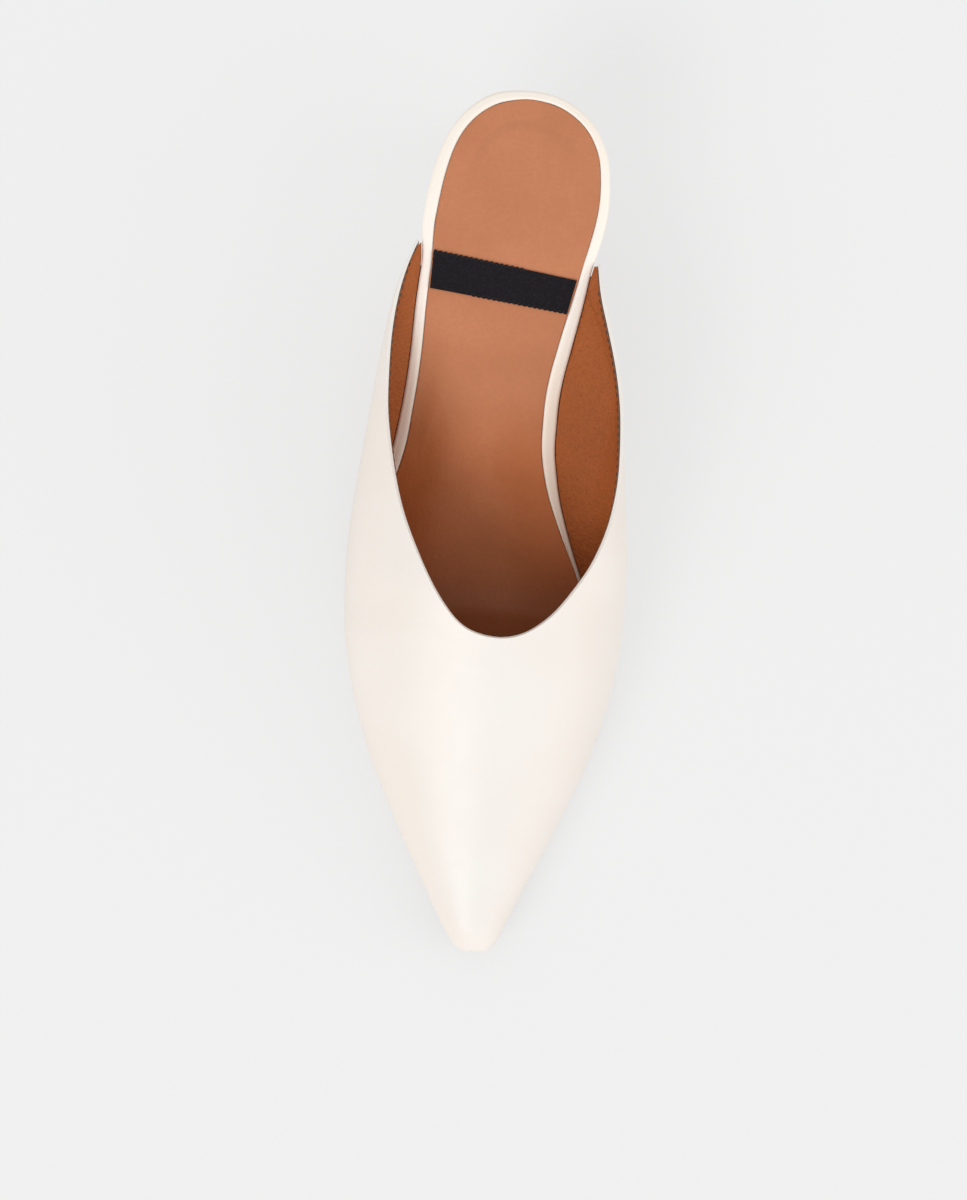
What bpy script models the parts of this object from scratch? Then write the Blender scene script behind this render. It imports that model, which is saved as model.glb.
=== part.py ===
"""A pointed leather mule on a small covered heel, for the wearer's right foot.

The toe points to -Y, the inner side of the foot is at +X, and the floor is at Z = 0.
Plans are worked out along the shoe, from the heel's back to the toe's tip.
Widths are measured from the shoe's long axis, outwards to the outer and the inner side.
"""
import math

import bmesh
import bpy
from mathutils import Vector

# Named sizes, in metres
LENGTH = 0.2631
BALL_WIDTH = 0.0863
INSTEP_HEIGHT = 0.052
HEEL_RISE = 0.0419
TOE_SPRING = 0.005
OUTSOLE_THICK = 0.0028
BOARD_THICK = 0.0035
RIM_ROUND = 0.0009
SOCK_THICK = 0.0012
LABEL_THICK = 0.0005
WALL = 0.0018
WALL_AT_BACK = 0.0010
GAP = 0.0003
TOP_LIFT_THICK = 0.006
LIFT_TAPER = 0.0002

# Edges: run of the rounding on each layer, and the least half width of a rounded end
RIM_RUN = 0.0013
SOCK_RUN = 0.0012
SOCK_ROUND = 0.0003
SOLE_RUN = 0.0020
BOARD_TIP = 0.0004
SOCK_TIP = 0.0020

# Swell of the upper's sides round the toe's end, and the least swell beyond the topline
TOE_SWELL = 0.0009
TOPLINE_CLEAR = 0.0002

# Climb of the instep behind the throat, height over length
INSTEP_CLIMB = 0.41

# Sides of the upper: shares of their rise and length, and the widest swell over BALL_WIDTH
SIDE_LIFT = 0.45
SIDE_REACH = 0.42
SIDE_SWELL = 0.40

# Shares of LENGTH where the pieces begin and end
BOARD_END = 0.987
THROAT = 0.630
ARCH_START = 0.53
ARCH_FULL = 0.61
BREAST = 0.203
OUTSOLE_START = 0.2055
SOCK_START = 0.009
SOCK_END = 0.962
PARED_END = 0.185
PARED_RUN = 0.070
TOE_END_START = 0.93
TOE_END_RUN = 0.04

# Grid counts
PLAN_ROWS = 54
WING_ROWS = 24
TOE_ROWS = 24
SIDE_COLUMNS = 12
LABEL_STEPS = 16
HEEL_RINGS = 11
HEEL_SIDE_STEPS = 13
LIFT_SIDE_STEPS = 10

# Solving steps: halvings of a range, and samples along a side
HALVINGS = 40
SIDE_SAMPLES = 40

# Rows crowd towards the wing's back end by this power
WING_CROWDING = 1.7

# Height of the sole's seat over the floor: along, share of HEEL_RISE, share of TOE_SPRING
RISE = (
    (0.00, 1.000, 0.00),
    (0.06, 0.985, 0.00),
    (0.12, 0.957, 0.00),
    (0.18, 0.910, 0.00),
    (0.24, 0.830, 0.00),
    (0.30, 0.715, 0.00),
    (0.36, 0.565, 0.00),
    (0.42, 0.395, 0.00),
    (0.48, 0.235, 0.00),
    (0.54, 0.110, 0.00),
    (0.60, 0.025, 0.00),
    (0.64, 0.000, 0.00),
    (0.78, 0.000, 0.00),
    (0.85, 0.000, 0.16),
    (0.92, 0.000, 0.48),
    (1.00, 0.000, 1.00),
)

# Footbed plan: along, outer side and inner side as shares of BALL_WIDTH
BOARD_PLAN = (
    (0.000, 0.014, 0.013),
    (0.010, 0.135, 0.155),
    (0.050, 0.252, 0.281),
    (0.080, 0.289, 0.312),
    (0.120, 0.317, 0.321),
    (0.165, 0.331, 0.304),
    (0.190, 0.324, 0.280),
    (0.210, 0.328, 0.268),
    (0.250, 0.339, 0.245),
    (0.300, 0.347, 0.213),
    (0.350, 0.362, 0.187),
    (0.400, 0.386, 0.183),
    (0.450, 0.420, 0.203),
    (0.500, 0.455, 0.245),
    (0.550, 0.474, 0.301),
    (0.600, 0.475, 0.354),
    (0.650, 0.456, 0.384),
    (0.700, 0.421, 0.374),
    (0.800, 0.316, 0.272),
    (0.900, 0.180, 0.142),
    (0.965, 0.083, 0.069),
    (0.980, 0.055, 0.047),
    (0.987, 0.014, 0.014),
)

# Rim that the sock leaves bare: along, outer side and inner side as shares of BALL_WIDTH
RIM = (
    (0.00, 0.040, 0.034),
    (0.06, 0.043, 0.033),
    (0.12, 0.047, 0.036),
    (0.16, 0.045, 0.039),
    (0.19, 0.035, 0.034),
    (0.25, 0.039, 0.044),
    (0.30, 0.040, 0.049),
    (0.38, 0.041, 0.050),
    (0.41, 0.046, 0.048),
    (0.44, 0.042, 0.044),
    (0.50, 0.022, 0.026),
    (0.56, 0.010, 0.013),
    (1.00, 0.010, 0.010),
)

# Plan of the upper's widest places: along, outer and inner side as shares of BALL_WIDTH
OUTLINE = (
    (0.17, 0.340, 0.262),
    (0.20, 0.377, 0.297),
    (0.24, 0.416, 0.340),
    (0.30, 0.448, 0.385),
    (0.36, 0.473, 0.411),
    (0.42, 0.496, 0.428),
    (0.50, 0.527, 0.451),
    (0.56, 0.539, 0.465),
    (0.62, 0.534, 0.466),
    (0.68, 0.503, 0.443),
    (0.75, 0.436, 0.384),
    (0.85, 0.300, 0.258),
    (0.94, 0.160, 0.136),
    (1.00, 0.075, 0.063),
)

# Outer topline: along, across, height as a share of INSTEP_HEIGHT, lean from level in degrees
TOPLINE_OUTER = (
    (0.177, 0.345, 0.870, 88),
    (0.190, 0.354, 0.888, 86),
    (0.205, 0.379, 0.900, 83),
    (0.240, 0.410, 0.917, 78),
    (0.300, 0.427, 0.938, 70),
    (0.360, 0.425, 0.958, 62),
    (0.420, 0.399, 0.975, 52),
    (0.480, 0.354, 0.990, 40),
    (0.545, 0.268, 1.005, 27),
    (0.590, 0.188, 1.010, 18),
    (0.622, 0.087, 1.008, 9),
    (0.630, -0.025, 1.000, 0),
)

# Inner topline: along, across, height as a share of INSTEP_HEIGHT, lean from level in degrees
TOPLINE_INNER = (
    (0.193, 0.300, 0.862, 92),
    (0.208, 0.302, 0.885, 94),
    (0.235, 0.325, 0.903, 96),
    (0.280, 0.363, 0.925, 97),
    (0.330, 0.399, 0.945, 96),
    (0.380, 0.416, 0.960, 92),
    (0.430, 0.419, 0.975, 80),
    (0.480, 0.400, 0.988, 58),
    (0.535, 0.343, 1.002, 36),
    (0.592, 0.238, 1.012, 18),
    (0.620, 0.133, 1.010, 8),
    (0.630, 0.025, 1.000, 0),
)

# Crest from throat to toe: share of the way round the toe, along, across, height
CREST = (
    (0.00, 0.630, 0.025, 1.000),
    (0.12, 0.705, 0.022, 0.845),
    (0.25, 0.780, 0.014, 0.690),
    (0.50, 0.895, 0.000, 0.495),
    (0.70, 0.952, -0.004, 0.402),
    (0.80, 0.974, -0.003, 0.357),
    (0.88, 0.9885, -0.002, 0.306),
    (0.94, 0.9965, 0.000, 0.249),
    (0.975, 0.9995, 0.000, 0.200),
    (1.00, 0.9952, 0.000, 0.157),
)

# Heel block: way down, back along, breast along, half width as a share of BALL_WIDTH
HEEL_SHAPE = (
    (0.00, 0.006, 0.203, 0.309),
    (0.15, 0.015, 0.170, 0.250),
    (0.30, 0.024, 0.145, 0.196),
    (0.50, 0.034, 0.122, 0.141),
    (0.70, 0.041, 0.109, 0.107),
    (0.85, 0.044, 0.103, 0.095),
    (1.00, 0.046, 0.100, 0.089),
)

# Sides of the heel's plan: share of its own length, share of its half width
HEEL_SIDE = (
    (0.000, 0.060),
    (0.020, 0.330),
    (0.080, 0.590),
    (0.200, 0.830),
    (0.400, 0.970),
    (0.650, 1.000),
    (0.900, 0.960),
    (1.000, 0.900),
)

# Heel's top beside the footbed's edge: along, metres outwards
HEEL_FLUSH = (
    (0.000, -0.0011),
    (0.150, -0.0009),
    (0.185, 0.0008),
    (0.210, 0.0012),
)

# Outsole beyond the footbed's edge: along, metres outwards
SOLE_MARGIN = (
    (0.00, 0.0012),
    (0.21, 0.0012),
    (0.30, 0.0018),
    (1.00, 0.0019),
)

# Label on the sock: its corners along and across
LABEL_BACK = ((0.1880, -0.285), (0.2130, 0.222))
LABEL_FRONT = ((0.2310, -0.291), (0.2515, 0.195))


def smooth_curve(knots, values):
    """A curve through the values that keeps level where they are level."""
    count = len(knots)
    steps = [knots[i + 1] - knots[i] for i in range(count - 1)]
    slopes = [(values[i + 1] - values[i]) / steps[i] for i in range(count - 1)]
    turns = [slopes[0]]
    for i in range(1, count - 1):
        before, after = slopes[i - 1], slopes[i]
        if before * after <= 0.0:
            turns.append(0.0)
        else:
            near = 2.0 * steps[i] + steps[i - 1]
            far = steps[i] + 2.0 * steps[i - 1]
            turns.append((near + far) / (near / before + far / after))
    turns.append(slopes[-1])

    def at(place):
        place = min(max(place, knots[0]), knots[-1])
        i = 0
        while i < count - 2 and place > knots[i + 1]:
            i += 1
        t = (place - knots[i]) / steps[i]
        rise = (1 + 2 * t) * (1 - t) ** 2 * values[i] + t * t * (3 - 2 * t) * values[i + 1]
        return rise + steps[i] * (t * (1 - t) ** 2 * turns[i] - t * t * (1 - t) * turns[i + 1])

    return at


def column(table, number, scale=1.0, measure=lambda share: share):
    """One column of a table as a smooth curve over its first column."""
    places = [measure(row[0]) for row in table]
    curve = smooth_curve(places, [row[number] * scale for row in table])
    return lambda share: curve(measure(share))


def round_measure(share):
    """Angle that runs evenly round a plan with two rounded ends."""
    return math.acos(min(max(1.0 - 2.0 * share, -1.0), 1.0))


def throat_measure(share):
    """Distance from the throat that runs evenly round its curve."""
    return -math.sqrt(max(THROAT - share, 0.0))


heel_rise = column(RISE, 1, HEEL_RISE)
toe_rise = column(RISE, 2, TOE_SPRING)
board_outer = column(BOARD_PLAN, 1, BALL_WIDTH, round_measure)
board_inner = column(BOARD_PLAN, 2, BALL_WIDTH, round_measure)
rim_outer = column(RIM, 1, BALL_WIDTH)
rim_inner = column(RIM, 2, BALL_WIDTH)


def seat_height(along):
    """Height of the footbed's underside at a distance along the shoe."""
    share = along / LENGTH
    return OUTSOLE_THICK + GAP + heel_rise(share) + toe_rise(share)


def board_edge(share, side):
    """Distance of the footbed's edge from the axis; side is -1 outer, +1 inner."""
    return board_inner(share) if side > 0 else board_outer(share)


def rim_width(share, side):
    """Width of the rim that the sock leaves bare; side is -1 outer, +1 inner."""
    return rim_inner(share) if side > 0 else rim_outer(share)


def ease(part):
    """Share between 0 and 1 that starts and ends softly."""
    part = min(max(part, 0.0), 1.0)
    return part * part * (3.0 - 2.0 * part)


def board_plan(share, side, margin=0.0):
    """Point of the footbed's edge, moved outwards by a margin."""
    step = 0.0008
    here = min(max(share, step), BOARD_END - step)
    change = board_edge(here + step, side) - board_edge(here - step, side)
    slope = Vector((2.0 * step * LENGTH, change)).normalized()
    if share <= 0.0:
        slope = Vector((0.0, 1.0))
    if share >= BOARD_END:
        slope = Vector((0.0, -1.0))
    along = share * LENGTH - slope.y * margin
    across = board_edge(share, side) + slope.x * margin
    return along, side * max(across, BOARD_TIP)


def round_stations(start, end, count):
    """Shares that crowd at both rounded ends of a plan."""
    angles = [math.pi * i / count for i in range(count + 1)]
    return [start + (end - start) * 0.5 * (1.0 - math.cos(angle)) for angle in angles]


def ladder(outer_points, inner_points, edge):
    """Rows of plan points from the outer side to the inner side of a flat piece."""
    rows = []
    for (outer_along, outer), (inner_along, inner) in zip(outer_points, inner_points):
        inset = min(edge / (inner - outer), 0.2)
        row = []
        for part in (0.0, inset, 0.35, 0.65, 1.0 - inset, 1.0):
            along = outer_along + (inner_along - outer_along) * part
            row.append((along, outer + (inner - outer) * part))
        rows.append(row)
    return rows


def layer(name, rows, low, high, rounding=0.0, ends=True):
    """A thin layer on the sole's curve, between two heights over the seat."""
    verts, faces = [], []
    wide = len(rows[0])
    last = len(rows) - 1
    for level in (0, 1):
        for i, row in enumerate(rows):
            for j, (along, across) in enumerate(row):
                height = seat_height(along) + (high if level else low)
                at_side = j in (0, wide - 1)
                at_end = ends and i in (0, last)
                if level and (at_side or at_end):
                    height -= rounding
                verts.append((across, along, height))
    shift = wide * len(rows)
    for i in range(last):
        for j in range(wide - 1):
            a = i * wide + j
            faces.append((a, a + 1, a + wide + 1, a + wide))
            b = a + shift
            faces.append((b, b + wide, b + wide + 1, b + 1))
    for i in range(last):
        for j, turn in ((0, 1), (wide - 1, -1)):
            a = i * wide + j
            faces.append((a, a + wide, a + wide + shift, a + shift)[::turn])
    for j in range(wide - 1):
        faces.append((j + 1, j, j + shift, j + 1 + shift))
        a = last * wide + j
        faces.append((a, a + 1, a + 1 + shift, a + shift))
    return name, verts, faces


def make_board():
    stations = round_stations(0.0, BOARD_END, PLAN_ROWS)
    outer = [board_plan(share, -1) for share in stations]
    inner = [board_plan(share, 1) for share in stations]
    rows = ladder(outer, inner, RIM_RUN)
    return layer("insole_board", rows, 0.0, BOARD_THICK, RIM_ROUND)


def make_sock():
    stations = round_stations(SOCK_START, SOCK_END, PLAN_ROWS)
    outer, inner = [], []
    for share in stations:
        along = share * LENGTH
        for side, points in ((-1, outer), (1, inner)):
            points.append((along, side * sock_edge(share, side)))
    rows = ladder(outer, inner, SOCK_RUN)
    low = BOARD_THICK + GAP
    return layer("sock", rows, low, low + SOCK_THICK, SOCK_ROUND)


def sock_edge(share, side):
    """Sock's half width: the footbed's edge moved inwards by the bare rim."""
    bare = rim_width(share, side)
    if min(share, BOARD_END - share) * LENGTH < bare:
        return SOCK_TIP
    narrowest = board_edge(share, side) - bare
    steps = 14
    for k in range(-steps, steps + 1):
        other = share + k * 0.0015
        away = (other - share) * LENGTH
        if 0.0 <= other <= BOARD_END and abs(away) < bare:
            reach = board_edge(other, side) - math.sqrt(bare * bare - away * away)
            narrowest = min(narrowest, reach)
    return max(narrowest, SOCK_TIP)


def make_outsole():
    parts = [math.sin(0.5 * math.pi * i / PLAN_ROWS) for i in range(PLAN_ROWS + 1)]
    stations = [OUTSOLE_START + (BOARD_END - OUTSOLE_START) * part for part in parts]
    margin = column(SOLE_MARGIN, 1)
    outer = [board_plan(share, -1, margin(share)) for share in stations]
    inner = [board_plan(share, 1, margin(share)) for share in stations]
    rows = ladder(outer, inner, SOLE_RUN)
    return layer("outsole", rows, -GAP - OUTSOLE_THICK, -GAP, 0.0, False)


def make_label():
    rows = []
    for i in range(LABEL_STEPS + 1):
        part = i / LABEL_STEPS
        row = []
        for j in range(4):
            cross = j / 3.0
            ends = []
            for pair in (LABEL_BACK, LABEL_FRONT):
                along = pair[0][0] + (pair[1][0] - pair[0][0]) * part
                across = pair[0][1] + (pair[1][1] - pair[0][1]) * part
                ends.append((along * LENGTH, across * BALL_WIDTH))
            along = ends[0][0] + (ends[1][0] - ends[0][0]) * cross
            across = ends[0][1] + (ends[1][1] - ends[0][1]) * cross
            row.append((along, across))
        rows.append(row[::-1])
    low = BOARD_THICK + SOCK_THICK + 2.0 * GAP
    return layer("label", rows, low, low + LABEL_THICK, 0.0, False)


def bezier(points, t):
    """Point on a cubic curve with four guide points."""
    s = 1.0 - t
    return (points[0] * s ** 3 + points[1] * 3 * s * s * t
            + points[2] * 3 * s * t * t + points[3] * t ** 3)


def side_guides(foot, outward, top, lean, widest, side):
    """Guide points of one side of the upper, which swells out to its widest place."""
    lift = Vector((0.0, 0.0, SIDE_LIFT * (top.z - foot.z)))
    reach = SIDE_REACH * (top - foot).length
    direction = Vector((-side * math.cos(lean), 0.0, math.sin(lean)))
    second = top - direction * reach
    low, high = 0.0, SIDE_SWELL * BALL_WIDTH
    for _ in range(HALVINGS):
        swell = 0.5 * (low + high)
        guides = (foot, foot + outward * swell + lift, second, top)
        parts = [step / SIDE_SAMPLES for step in range(SIDE_SAMPLES + 1)]
        reached = max(side * bezier(guides, part).x for part in parts)
        if reached < widest:
            low = swell
        else:
            high = swell
    return guides


def side_row(guides, part=1.0):
    """Even steps along the first part of a side."""
    return [bezier(guides, part * j / SIDE_COLUMNS) for j in range(SIDE_COLUMNS + 1)]


def part_up_to(guides, across, side):
    """Part of a side that ends at a distance from the axis, on its inward run."""
    low, high = 0.35, 1.0
    for _ in range(HALVINGS):
        middle = 0.5 * (low + high)
        if side * bezier(guides, middle).x > across:
            low = middle
        else:
            high = middle
    return 0.5 * (low + high)


def wall_at(along):
    """Thickness of the upper, which is pared thin where its ends tuck in at the seat."""
    return WALL_AT_BACK + (WALL - WALL_AT_BACK) * ease((along / LENGTH - PARED_END) / PARED_RUN)


def feather(share, side):
    """Feather point and its outward direction, in the frame (across, along, up)."""
    along, across = board_plan(share, side, GAP + wall_at(share * LENGTH))
    edge_along, edge_across = board_plan(share, side, 0.0)
    outward = Vector((across - edge_across, along - edge_along, 0.0)).normalized()
    if share >= BOARD_END:
        across = 0.0
        outward = Vector((0.0, 1.0, 0.0))
    return Vector((across, along, seat_height(along))), outward


def upper_rows(side):
    """Rows of one half of the upper's outer face, from its back end to the toe."""
    table = TOPLINE_INNER if side > 0 else TOPLINE_OUTER
    across = column(table, 1, BALL_WIDTH, throat_measure)
    height = column(table, 2, INSTEP_HEIGHT, throat_measure)
    lean = column(table, 3, math.pi / 180.0, throat_measure)
    outline = column(OUTLINE, 2 if side > 0 else 1, BALL_WIDTH)
    back = table[0][0]
    crest_along = column(CREST, 1, LENGTH)
    crest_across = column(CREST, 2, BALL_WIDTH)
    crest_height = column(CREST, 3, INSTEP_HEIGHT)
    rows = []
    for i in range(WING_ROWS):
        share = THROAT - (THROAT - back) * (1.0 - i / WING_ROWS) ** WING_CROWDING
        foot, outward = feather(share, side)
        top = Vector((side * across(share), share * LENGTH, height(share)))
        widest = max(outline(share), across(share) + TOPLINE_CLEAR)
        row = side_row(side_guides(foot, outward, top, lean(share), widest, side))
        arch = ease((share - ARCH_START) / (ARCH_FULL - ARCH_START))
        if arch > 0.0:
            climb = INSTEP_CLIMB * (THROAT - share) * LENGTH
            crest = Vector((crest_across(0.0), share * LENGTH, INSTEP_HEIGHT + climb))
            whole = side_guides(foot, outward, crest, 0.0, outline(share), side)
            cut = side_row(whole, part_up_to(whole, across(share), side))
            row = [a.lerp(b, arch) for a, b in zip(row, cut)]
        rows.append(row)
    throat_angle = round_measure(THROAT / BOARD_END)
    for i in range(TOE_ROWS + 1):
        way = i / TOE_ROWS
        angle = throat_angle + (math.pi - throat_angle) * way
        share = BOARD_END * 0.5 * (1.0 - math.cos(angle))
        foot, outward = feather(share if i < TOE_ROWS else BOARD_END, side)
        top = Vector((crest_across(way), crest_along(way), crest_height(way)))
        if i == TOE_ROWS:
            rows.append([foot.copy() for _ in range(SIDE_COLUMNS + 1)])
        else:
            fade = min(max((share - TOE_END_START) / TOE_END_RUN, 0.0), 1.0)
            end_width = abs(foot.x) + TOE_SWELL * abs(outward.x)
            widest = outline(share) * (1.0 - fade) + end_width * fade
            rows.append(side_row(side_guides(foot, outward, top, 0.0, widest, side)))
    return rows


def make_upper():
    skin = bmesh.new()
    for side in (-1, 1):
        rows = upper_rows(side)
        grid = [[skin.verts.new(point) for point in row] for row in rows]
        for i in range(len(rows) - 1):
            for j in range(SIDE_COLUMNS):
                corners = [grid[i][j], grid[i][j + 1], grid[i + 1][j + 1], grid[i + 1][j]]
                skin.faces.new(corners if side < 0 else corners[::-1])
    bmesh.ops.remove_doubles(skin, verts=skin.verts, dist=0.00002)
    skin.normal_update()
    skin.verts.ensure_lookup_table()
    skin.verts.index_update()
    count = len(skin.verts)
    outside = [vert.co.copy() for vert in skin.verts]
    inside = [vert.co - vert.normal * wall_at(vert.co.y) for vert in skin.verts]
    faces = []
    for face in skin.faces:
        corners = [vert.index for vert in face.verts]
        faces.append(tuple(corners))
        faces.append(tuple(index + count for index in reversed(corners)))
    for edge in skin.edges:
        if edge.is_boundary:
            loop = edge.link_loops[0]
            a = loop.vert.index
            b = loop.link_loop_next.vert.index
            faces.append((b, a, a + count, b + count))
    skin.free()
    return "upper", [tuple(co) for co in outside + inside], faces


def side_ways(steps):
    """Shares along a heel's side that crowd at its rounded back."""
    half_steps = round(steps / 2)
    ways = [0.5 * (1.0 - math.cos(0.5 * math.pi * i / steps)) for i in range(steps + 1)]
    ways += [0.5 + 0.5 * math.sin(0.5 * math.pi * i / half_steps) for i in range(1, half_steps + 1)]
    return ways


def make_heel():
    back = column(HEEL_SHAPE, 1, LENGTH)
    breast = column(HEEL_SHAPE, 2, LENGTH)
    half = column(HEEL_SHAPE, 3, BALL_WIDTH)
    own_side = column(HEEL_SIDE, 1)
    flush = column(HEEL_FLUSH, 1)
    seat_back = HEEL_SHAPE[0][1]
    low = TOP_LIFT_THICK + GAP
    ways = side_ways(HEEL_SIDE_STEPS)
    rings = []
    for k in range(HEEL_RINGS + 1):
        down = k / HEEL_RINGS
        seat_pull = (1.0 - down) ** 2
        ring = []
        for side in (-1, 1):
            for way in ways:
                along = back(down) + (breast(down) - back(down)) * way
                seat_share = seat_back + (BREAST - seat_back) * way
                plain = own_side(way) * half(down)
                seat = (board_edge(seat_share, side) + flush(seat_share)) * half(down) / half(0.0)
                across = side * max(plain * (1.0 - seat_pull) + seat * seat_pull, BOARD_TIP)
                top = seat_height(seat_share * LENGTH) - GAP
                ring.append((across, along, top * (1.0 - down) + low * down))
        rings.append(ring)
    return loft("heel", rings, len(ways))


def make_top_lift():
    back = HEEL_SHAPE[-1][1] * LENGTH
    breast = HEEL_SHAPE[-1][2] * LENGTH
    half = HEEL_SHAPE[-1][3] * BALL_WIDTH
    own_side = column(HEEL_SIDE, 1)
    ways = side_ways(LIFT_SIDE_STEPS)
    rings = []
    for height, margin in ((TOP_LIFT_THICK, 0.0), (0.0, -LIFT_TAPER)):
        ring = []
        for side in (-1, 1):
            for way in ways:
                along = back - margin + (breast - back + 2.0 * margin) * way
                across = side * (own_side(way) * half + margin)
                ring.append((across, along, height))
        rings.append(ring)
    return loft("top_lift", rings, len(ways))


def loft(name, rings, wide):
    """A block through rings of two sides each, closed at the top and at the bottom."""
    verts, faces = [], []
    for ring in rings:
        verts += ring
    size = 2 * wide
    for k in range(len(rings) - 1):
        a = k * size
        b = a + size
        for i in range(wide - 1):
            faces.append((a + i, a + i + 1, b + i + 1, b + i))
            faces.append((b + wide + i, b + wide + i + 1, a + wide + i + 1, a + wide + i))
        faces.append((a, b, b + wide, a + wide))
        faces.append((a + wide - 1, a + size - 1, b + size - 1, b + wide - 1))
    for k, turn in ((0, 1), (len(rings) - 1, -1)):
        a = k * size
        for i in range(wide - 1):
            faces.append((a + i, a + wide + i, a + wide + i + 1, a + i + 1)[::turn])
    return name, verts, faces


# Node: colour, roughness
FINISH = {
    "outsole": ((0.20, 0.10, 0.05), 0.55),
    "insole_board": ((0.86, 0.84, 0.77), 0.45),
    "sock": ((0.53, 0.21, 0.11), 0.55),
    "label": ((0.012, 0.012, 0.013), 0.85),
    "upper": ((0.88, 0.87, 0.81), 0.40),
    "heel": ((0.86, 0.85, 0.79), 0.40),
    "top_lift": ((0.05, 0.04, 0.035), 0.60),
}


def make_object(name, verts, faces):
    mesh = bpy.data.meshes.new(name)
    mesh.from_pydata(verts, [], faces)
    shape = bmesh.new()
    shape.from_mesh(mesh)
    bmesh.ops.remove_doubles(shape, verts=shape.verts, dist=0.00001)
    bmesh.ops.triangulate(shape, faces=shape.faces)
    bmesh.ops.recalc_face_normals(shape, faces=shape.faces)
    shape.to_mesh(mesh)
    shape.free()
    mesh.shade_smooth()
    mesh.set_sharp_from_angle(angle=math.radians(35.0))
    colour, roughness = FINISH[name]
    material = bpy.data.materials.new(name)
    material.use_nodes = True
    surface = material.node_tree.nodes["Principled BSDF"]
    surface.inputs["Base Color"].default_value = (*colour, 1.0)
    surface.inputs["Roughness"].default_value = roughness
    surface.inputs["Metallic"].default_value = 0.0
    mesh.materials.append(material)
    piece = bpy.data.objects.new(name, mesh)
    bpy.context.scene.collection.objects.link(piece)


def build():
    for old in list(bpy.data.objects):
        bpy.data.objects.remove(old, do_unlink=True)
    pieces = [
        make_outsole(),
        make_board(),
        make_sock(),
        make_label(),
        make_upper(),
        make_heel(),
        make_top_lift(),
    ]
    across = [point[0] for _, verts, _ in pieces for point in verts]
    along = [point[1] for _, verts, _ in pieces for point in verts]
    middle_x = 0.5 * (min(across) + max(across))
    middle_y = 0.5 * (min(along) + max(along))
    for name, verts, faces in pieces:
        placed = [(x - middle_x, middle_y - y, z) for x, y, z in verts]
        make_object(name, placed, faces)


build()
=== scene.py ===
"""Looks for a pointed leather mule on a small covered heel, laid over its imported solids."""

import math

import bpy
from bpy.props import FloatProperty, FloatVectorProperty, PointerProperty
from mathutils import Matrix, Vector
from mathutils.kdtree import KDTree


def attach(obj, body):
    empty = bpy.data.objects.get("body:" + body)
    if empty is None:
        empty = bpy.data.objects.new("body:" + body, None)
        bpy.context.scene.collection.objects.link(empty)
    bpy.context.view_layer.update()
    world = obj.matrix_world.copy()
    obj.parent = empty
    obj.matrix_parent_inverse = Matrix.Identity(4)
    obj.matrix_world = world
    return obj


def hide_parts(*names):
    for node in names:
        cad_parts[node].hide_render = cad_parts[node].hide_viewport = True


bl_info = {
    "name": "Leather Mule",
    "version": (1, 0, 0),
    "blender": (4, 5, 0),
    "location": "View3D > Sidebar > Mule",
    "description": "Builds the leathers, edges, footbed, heel and stage of a pointed mule",
    "category": "Object",
}

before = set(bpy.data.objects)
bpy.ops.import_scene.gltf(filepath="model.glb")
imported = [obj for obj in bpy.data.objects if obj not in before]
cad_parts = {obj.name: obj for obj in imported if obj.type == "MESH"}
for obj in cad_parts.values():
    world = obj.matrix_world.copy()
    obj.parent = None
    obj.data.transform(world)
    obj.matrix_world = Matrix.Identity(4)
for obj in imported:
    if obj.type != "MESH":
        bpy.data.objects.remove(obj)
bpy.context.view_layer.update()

# Photograph: scale on the floor, camera height and where the lens points
IMAGE_HEIGHT_PX = 1200
FLOOR_PX_PER_MM = 3.2
CAMERA_HEIGHT = 1.4
CAMERA_X = -0.0002
CAMERA_Y = -0.0228
CAMERA_ROLL = math.radians(3.37)
SENSOR_WIDTH_MM = 36.0

# Places along the shoe, heel at +Y and toe at -Y, and how far and how much each change goes
AXIS_X = 0.0032
THROAT_Y = -0.034
PARED_AT = 0.083
PARED_RUN = 0.018
PARED_SHARE = 0.56
PAD_FRONT = 0.062
PAD_FADE = 0.030
PAD_SLOPE = 0.0036
TOE_FROM = -0.105
TOE_RUN = 0.02
TOE_STRETCH = 0.0008

# Lining: how it leans to the rim, tucks in at its back ends and drops toward the wings' tips
LEAN_RUN = 0.01
LEAN_MOST = 0.0035
LEAN_FREE = 0.004
TUCK = 0.0007
TUCK_RUN = 0.007
DROP_FROM = 0.050
DROP_RUN = 0.025
DROP_MORE = 1.7
DROP_MOST = 0.7

# Painted shade on the sock: the dark band beside its edge, and where its painted warm bounce light is full
SHADE_BAND_AT = 0.0042
SHADE_BAND_WIDTH = 0.0038
SHADE_BAND_BACK = 0.060
SHADE_BAND_FRONT = -0.030
SHADE_BAND_FADE = 0.040
DEEP_FROM = 0.045
DEEP_RUN = 0.030

# Rings: points on half an outline, and steps between two of its stations
HALF_RING = 150
OUTLINE_STEPS = 8

# Footbed: radius and depth of its round rim, level and width of the groove beside the sock
RIM_RADIUS = 0.0013
RIM_DEPTH = 0.0011
GROOVE_LEVEL = -0.0009
GROOVE_WIDTH = 0.0005

# Sock: reach of its rings in from the edge, and level of its underside
SOCK_REACH = 0.0105
SOCK_UNDER = -0.0007

# Tape: cuts across each face, where its long edges begin, its thickness, scallops and stitches
TAPE_CUTS = 8
TAPE_HALF = 0.0042
TAPE_THICKNESS = 0.0005
SCALLOP = 0.00042
STITCH_INSET = 0.00045

# Heel: height and distance over which its top edge is drawn to the footbed
MEET_HEIGHT = 0.006
MEET_REACH = 0.0022

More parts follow.
